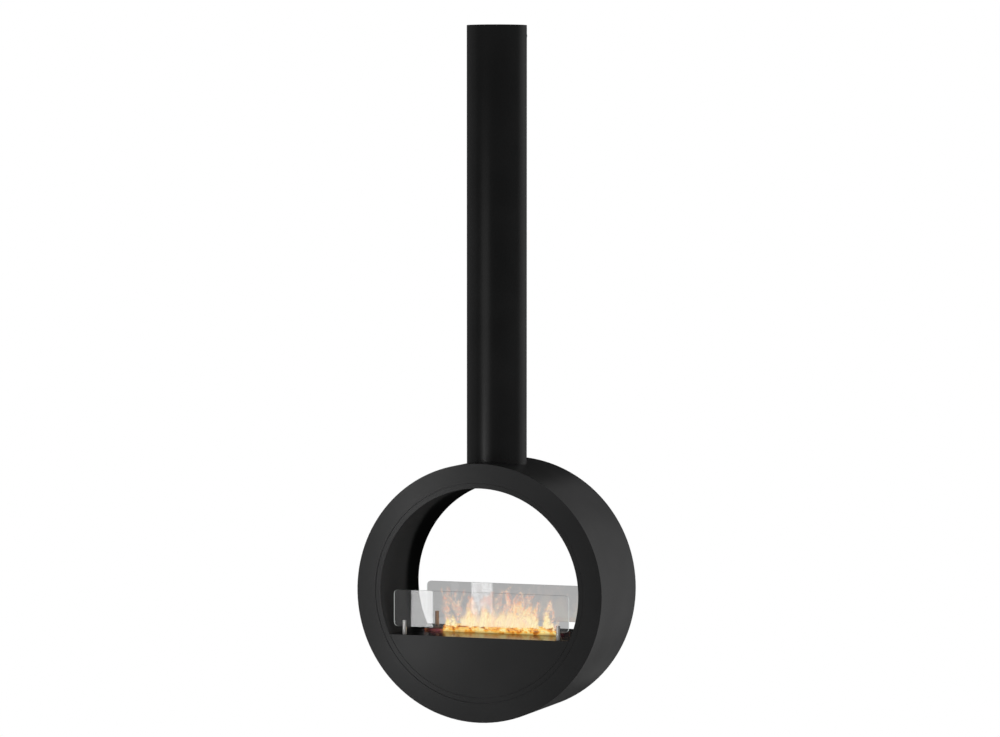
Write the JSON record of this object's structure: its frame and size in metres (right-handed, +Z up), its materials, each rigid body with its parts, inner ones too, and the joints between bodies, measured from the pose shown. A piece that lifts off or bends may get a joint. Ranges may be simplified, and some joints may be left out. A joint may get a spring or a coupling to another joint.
{
  "type": "hanging fireplace",
  "caption": "Ring-shaped see-through fireplace hung from the ceiling by a round pipe, with a lift-out liquid fuel burner on a shelf between glass screens held in slotted posts.",
  "frame": {"origin": "centre of the ceiling plate's top face, which bears on the ceiling", "axes": "+Z up, out of the ceiling plate; +X to the right seen from the front; the front of the ring faces -Y"},
  "size_m": [0.741, 0.312, 1.99],
  "materials": {
    "black_steel": "fine matt black powder coat",
    "dark_steel": "black primer on hidden plates",
    "stainless": "brushed stainless steel",
    "zinc_fasteners": "bright zinc plating",
    "ceramic_wool": "off-white ceramic fibre",
    "silicone": "matt black silicone",
    "glass": "clear toughened glass with polished edges"
  },
  "bodies": {
    "root": {"ceiling_plate": "dark_steel", "collar_ring": "dark_steel", "hanger_pipe": "black_steel", "pipe_screws": "zinc_fasteners", "saddle_foot": "dark_steel", "hanger_washers": "zinc_fasteners", "hanger_bolts": "zinc_fasteners", "load_block": "dark_steel", "drum_shell": "black_steel", "front_face_ring": "black_steel", "rear_face_ring": "black_steel", "front_lip_ring": "black_steel", "rear_lip_ring": "black_steel", "front_backing_ring": "dark_steel", "rear_backing_ring": "dark_steel", "tunnel_liner": "black_steel", "hearth_shelf": "black_steel", "front_panel": "black_steel", "rear_panel": "black_steel", "front_panel_angle": "dark_steel", "rear_panel_angle": "dark_steel", "shelf_bearers": "dark_steel", "drip_tray": "stainless", "tray_screws": "zinc_fasteners", "glass_post_front_left": "stainless", "glass_post_front_right": "stainless", "glass_post_rear_left": "stainless", "glass_post_rear_right": "stainless", "post_screws": "zinc_fasteners", "glass_pads": "silicone"},
    "burner": {"burner_plate": "stainless", "burner_casing": "stainless", "fuel_tank": "stainless", "ceramic_wool": "ceramic_wool"},
    "front_pane": {"glass_front": "glass"},
    "rear_pane": {"glass_rear": "glass"}
  },
  "joints": [
    {"name": "burner_lift", "type": "slide", "parent": "root", "child": "burner", "axis": [0, 0, 1], "range_m": [0, 0.07]},
    {"name": "front_pane_lift", "type": "slide", "parent": "root", "child": "front_pane", "axis": [0, 0, 1], "range_m": [0, 0.025]},
    {"name": "rear_pane_lift", "type": "slide", "parent": "root", "child": "rear_pane", "axis": [0, 0, 1], "range_m": [0, 0.025]}
  ]
}
